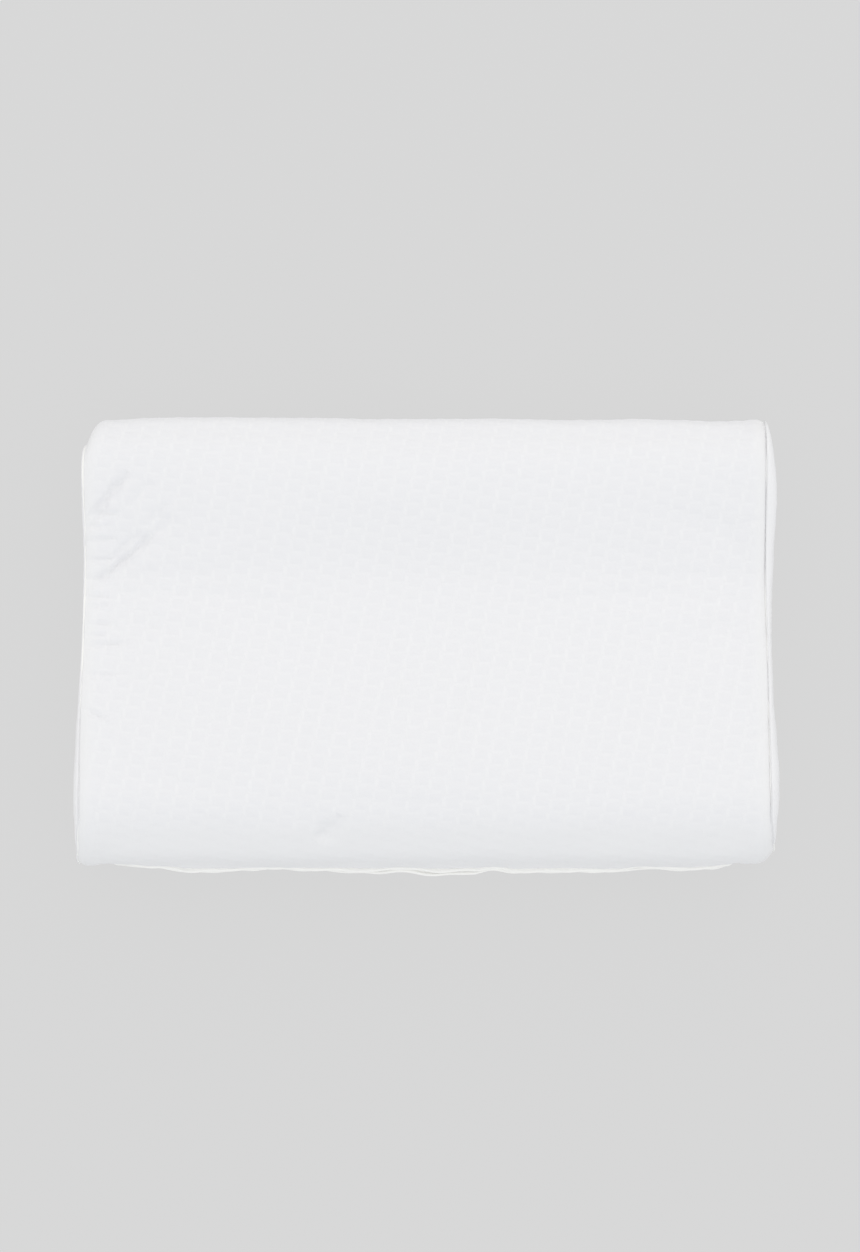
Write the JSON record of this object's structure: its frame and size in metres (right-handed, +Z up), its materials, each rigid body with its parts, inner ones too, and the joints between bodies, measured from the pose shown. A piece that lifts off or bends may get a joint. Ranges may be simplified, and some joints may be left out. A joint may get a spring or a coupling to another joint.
{
  "type": "cervical pillow",
  "caption": "Contour pillow with a high front lobe, a low rear lobe and a shallow head hollow between them, in a fitted knitted cover with end gussets and a lipped front closure.",
  "frame": {"origin": "middle of the base of the whole pillow's box, on the surface it lies on", "axes": "+X along the pillow, -Y to the high front lobe, +Z up"},
  "size_m": [0.502, 0.3267, 0.1001],
  "materials": {
    "cover_knit": "matte white jacquard knit with small puffed cells",
    "lip_knit": "matte white folded knit"
  },
  "bodies": {
    "root": {"pillow_body": "cover_knit", "end_gusset_left": "cover_knit", "end_gusset_right": "cover_knit", "closure_lip_upper": "lip_knit", "closure_lip_lower": "lip_knit"}
  },
  "joints": []
}
